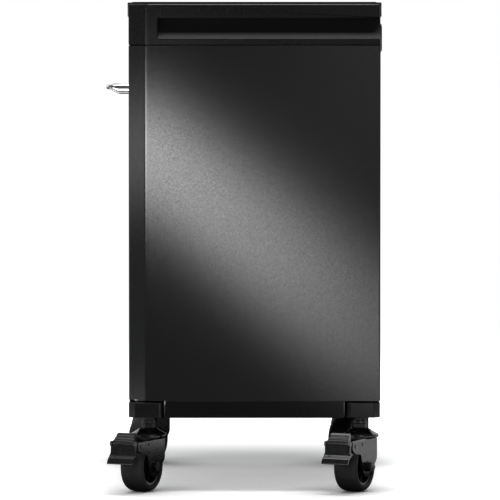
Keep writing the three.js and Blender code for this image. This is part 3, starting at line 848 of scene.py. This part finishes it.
def floor_shade(maths, x, y):
    """1 where the floor's colour is painted dark for what the casters mirror: beneath the chest,
    behind it and on its far side.
    """
    beneath = maths.product(
        maths.span(y, -0.45, -0.25), maths.span(y, 0.56, 0.7, 1, 0), maths.span(x, 0.25, 0.5, 1, 0),
    )
    return maths.do("MAXIMUM", beneath, maths.span(x, -0.95, -0.65, 1, 0))


def make_floor():
    """A pale floor that fades out far from the chest, so that it shows no horizon."""
    bm = bmesh.new()
    bmesh.ops.create_grid(bm, x_segments=1, y_segments=1, size=9)
    floor = new_object("studio_floor", bm)
    material = bpy.data.materials.new("studio_floor")
    material.use_nodes = True
    nodes, links = material.node_tree.nodes, material.node_tree.links
    maths = Maths(material.node_tree)
    shader = nodes["Principled BSDF"]
    shader.inputs["Roughness"].default_value = 1.0
    shader.inputs["Specular IOR Level"].default_value = 0.0
    shader.inputs["Emission Color"].default_value = (1, 1, 1, 1)
    place = nodes.new("ShaderNodeTexCoord").outputs["Object"]
    distance = nodes.new("ShaderNodeVectorMath")
    distance.operation = "LENGTH"
    links.new(place, distance.inputs[0])
    away = distance.outputs["Value"]
    spot = nodes.new("ShaderNodeSeparateXYZ")
    links.new(place, spot.inputs["Vector"])
    x, y = spot.outputs["X"], spot.outputs["Y"]
    # Ambient occlusion that paints contact shadows into the floor's glow around the wheels.
    corner = nodes.new("ShaderNodeAmbientOcclusion")
    corner.inputs["Distance"].default_value = 0.13
    corner.samples = 8
    seen = nodes.new("ShaderNodeLightPath").outputs["Is Camera Ray"]
    unseen = maths.one_minus(seen)
    # The floor's glow for the camera, with the chest's shadow and the contact shadows painted into it.
    painted_shadow_glow = floor_glow_painted_shadow(maths, x, maths.do("ABSOLUTE", y), away, corner.outputs["AO"])
    links.new(maths.product(painted_shadow_glow, seen), shader.inputs["Emission Strength"])
    # Painted shade: for all but camera rays, the floor's colour goes dark where the casters mirror it.
    shade = maths.product(floor_shade(maths, x, y), unseen)
    links.new(maths.product(maths.one_minus(shade), 0.9), shader.inputs["Base Color"])
    # What the side panel mirrors: the floor is clear in front of it and far away, down to the dark room.
    gone = maths.do("MAXIMUM", maths.span(x, 0.7, 1.2), maths.span(away, 1.2, 3.4))
    mix = nodes.new("ShaderNodeMixShader")
    clear = nodes.new("ShaderNodeBsdfTransparent")
    faded = maths.span(away, 1.8, 4.5)
    links.new(maths.do("MAXIMUM", faded, maths.product(gone, unseen)), mix.inputs["Fac"])
    links.new(shader.outputs["BSDF"], mix.inputs[1])
    links.new(clear.outputs["BSDF"], mix.inputs[2])
    links.new(mix.outputs["Shader"], nodes["Material Output"].inputs["Surface"])
    floor.data.materials.append(material)


def make_world():
    """White behind everything, and for the light that reaches the chest a room that is bright behind it."""
    world = bpy.data.worlds.new("studio")
    bpy.context.scene.world = world
    world.use_nodes = True
    nodes, links = world.node_tree.nodes, world.node_tree.links
    seen = nodes["Background"]
    seen.inputs["Color"].default_value = (1, 1, 1, 1)
    seen.inputs["Strength"].default_value = 1.0
    direction = nodes.new("ShaderNodeSeparateXYZ")
    links.new(nodes.new("ShaderNodeTexCoord").outputs["Generated"], direction.inputs["Vector"])
    room = nodes.new("ShaderNodeBackground")
    room.inputs["Color"].default_value = (0.98, 0.99, 1.0, 1)
    maths = Maths(world.node_tree)
    behind = maths.span(direction.outputs["X"], -0.6, -0.05, 0.8, 0.0)
    ahead = maths.span(direction.outputs["X"], 0.0, 0.6, 0.12, 0.09)
    above = maths.span(direction.outputs["Z"], -0.2, -0.03, 0.0, 1.0)
    links.new(maths.do("ADD", maths.product(behind, above), ahead), room.inputs["Strength"])
    mix = nodes.new("ShaderNodeMixShader")
    links.new(nodes.new("ShaderNodeLightPath").outputs["Is Camera Ray"], mix.inputs["Fac"])
    links.new(room.outputs["Background"], mix.inputs[1])
    links.new(seen.outputs["Background"], mix.inputs[2])
    links.new(mix.outputs["Shader"], nodes["World Output"].inputs["Surface"])


def overhead_light(place, size, power):
    """A soft box that faces straight down. The camera doesn't see it."""
    light = bpy.data.lights.new("overhead", "AREA")
    light.shape = "RECTANGLE"
    light.size, light.size_y = size
    light.energy = power
    obj = bpy.data.objects.new("overhead", light)
    bpy.context.scene.collection.objects.link(obj)
    obj.location = place
    obj.visible_camera = False


# The soft streak on the side panel mirrors a glowing sheet that stands in front of it.
# Its bright band runs level past the corner, then slopes down towards the chest's rear.
SHEET_X = 1.3
BAND_START = (-0.19, 0.628)
BAND_SLOPE = 38.5
BAND_LENGTH = 0.608
BAND_GLOW = (4.8, 1.3)
BAND_WIDTH = (0.083, 0.112)


def glow_sheet(name, place, turn, glow):
    """A sheet two metres across that shines on one thing and is clear itself.
    glow(maths, y, z) gives its brightness at y across and z up from its middle."""
    bm = bmesh.new()
    bmesh.ops.create_grid(bm, x_segments=1, y_segments=1, size=1)
    bmesh.ops.transform(bm, verts=bm.verts, matrix=Matrix.Rotation(math.radians(-90), 4, "Y"))
    sheet = new_object(name, bm)
    sheet.matrix_world = Matrix.Translation(place) @ Matrix.Rotation(math.radians(turn), 4, "Z")
    material = bpy.data.materials.new(name)
    material.use_nodes = True
    nodes, links = material.node_tree.nodes, material.node_tree.links
    nodes.remove(nodes["Principled BSDF"])
    spot = nodes.new("ShaderNodeSeparateXYZ")
    links.new(nodes.new("ShaderNodeTexCoord").outputs["Object"], spot.inputs["Vector"])
    emission = nodes.new("ShaderNodeEmission")
    strength = glow(Maths(material.node_tree), spot.outputs["Y"], spot.outputs["Z"])
    links.new(strength, emission.inputs["Strength"])
    add = nodes.new("ShaderNodeAddShader")
    links.new(nodes.new("ShaderNodeBsdfTransparent").outputs["BSDF"], add.inputs[0])
    links.new(emission.outputs["Emission"], add.inputs[1])
    links.new(add.outputs["Shader"], nodes["Material Output"].inputs["Surface"])
    sheet.data.materials.append(material)
    sheet.visible_camera = False
    sheet.visible_shadow = False


def bell(maths, offset, width):
    """1 at no offset, a half at one width, and next to nothing past two."""
    steep = maths.do("POWER", maths.do("ABSOLUTE", maths.do("DIVIDE", offset, width)), 2.5)
    return maths.do("EXPONENT", maths.product(steep, -math.log(2)))


def band_glow(maths, y, z):
    """A band that is level up to where it starts and slopes down from there, growing wider and fainter."""
    slope = math.radians(BAND_SLOPE)
    length = BAND_LENGTH * math.cos(slope)
    rear = maths.do("MAXIMUM", y, 0.0)
    across = maths.do("ADD", maths.product(z, math.cos(slope)), maths.product(rear, math.sin(slope)))
    width = maths.span(y, 0.0, length, *BAND_WIDTH, smooth=False)
    strength = maths.span(y, 0.0, length, *BAND_GLOW, smooth=False)
    start = maths.span(y, -1.0, -0.8)
    end = maths.span(y, length + 0.05, length + 0.35, 1.0, 0.0)
    band = maths.product(bell(maths, across, width), strength, start, end)
    haze = maths.product(maths.span(y, 0.05, 0.6, 0.0, 0.2), maths.span(z, -0.35, 0.3))
    return maths.do("ADD", band, haze)


def spot_glow(strength, width, height):
    """A soft oval spot."""
    def glow(maths, y, z):
        return maths.product(bell(maths, y, width), bell(maths, z, height), strength)
    return glow


def make_lights():
    # The streak on the side panel.
    glow_sheet("panel_glow", (SHEET_X, *BAND_START), 0, band_glow)
    # The soft light on the slanted post, from in front of the chest.
    glow_sheet("post_glow", (0.27, -1.5, 0.635), -90, spot_glow(strength=0.8, width=0.15, height=0.11))
    # What the rounded corner between the two mirrors.
    glow_sheet("corner_glow", (1.25, -1.3, 0.64), -48, spot_glow(strength=6.5, width=0.3, height=0.11))
    overhead_light(place=(1.15, 0.0, 5.6), size=(1.7, 6.0), power=190)


def make_camera():
    camera = bpy.data.objects.new("camera", bpy.data.cameras.new("camera"))
    camera.data.lens = CAMERA_LENS
    camera.data.clip_end = 60
    camera.location = CAMERA_PLACE
    camera.rotation_euler = Vector(CAMERA_VIEW).to_track_quat("-Z", "Y").to_euler()
    bpy.context.scene.collection.objects.link(camera)
    bpy.context.scene.camera = camera
    bpy.context.scene.view_settings.view_transform = "Standard"


make_camera()
make_world()
make_floor()
make_lights()
make_cabinet()
make_drawers()
make_handle()
make_lock()
make_casters()
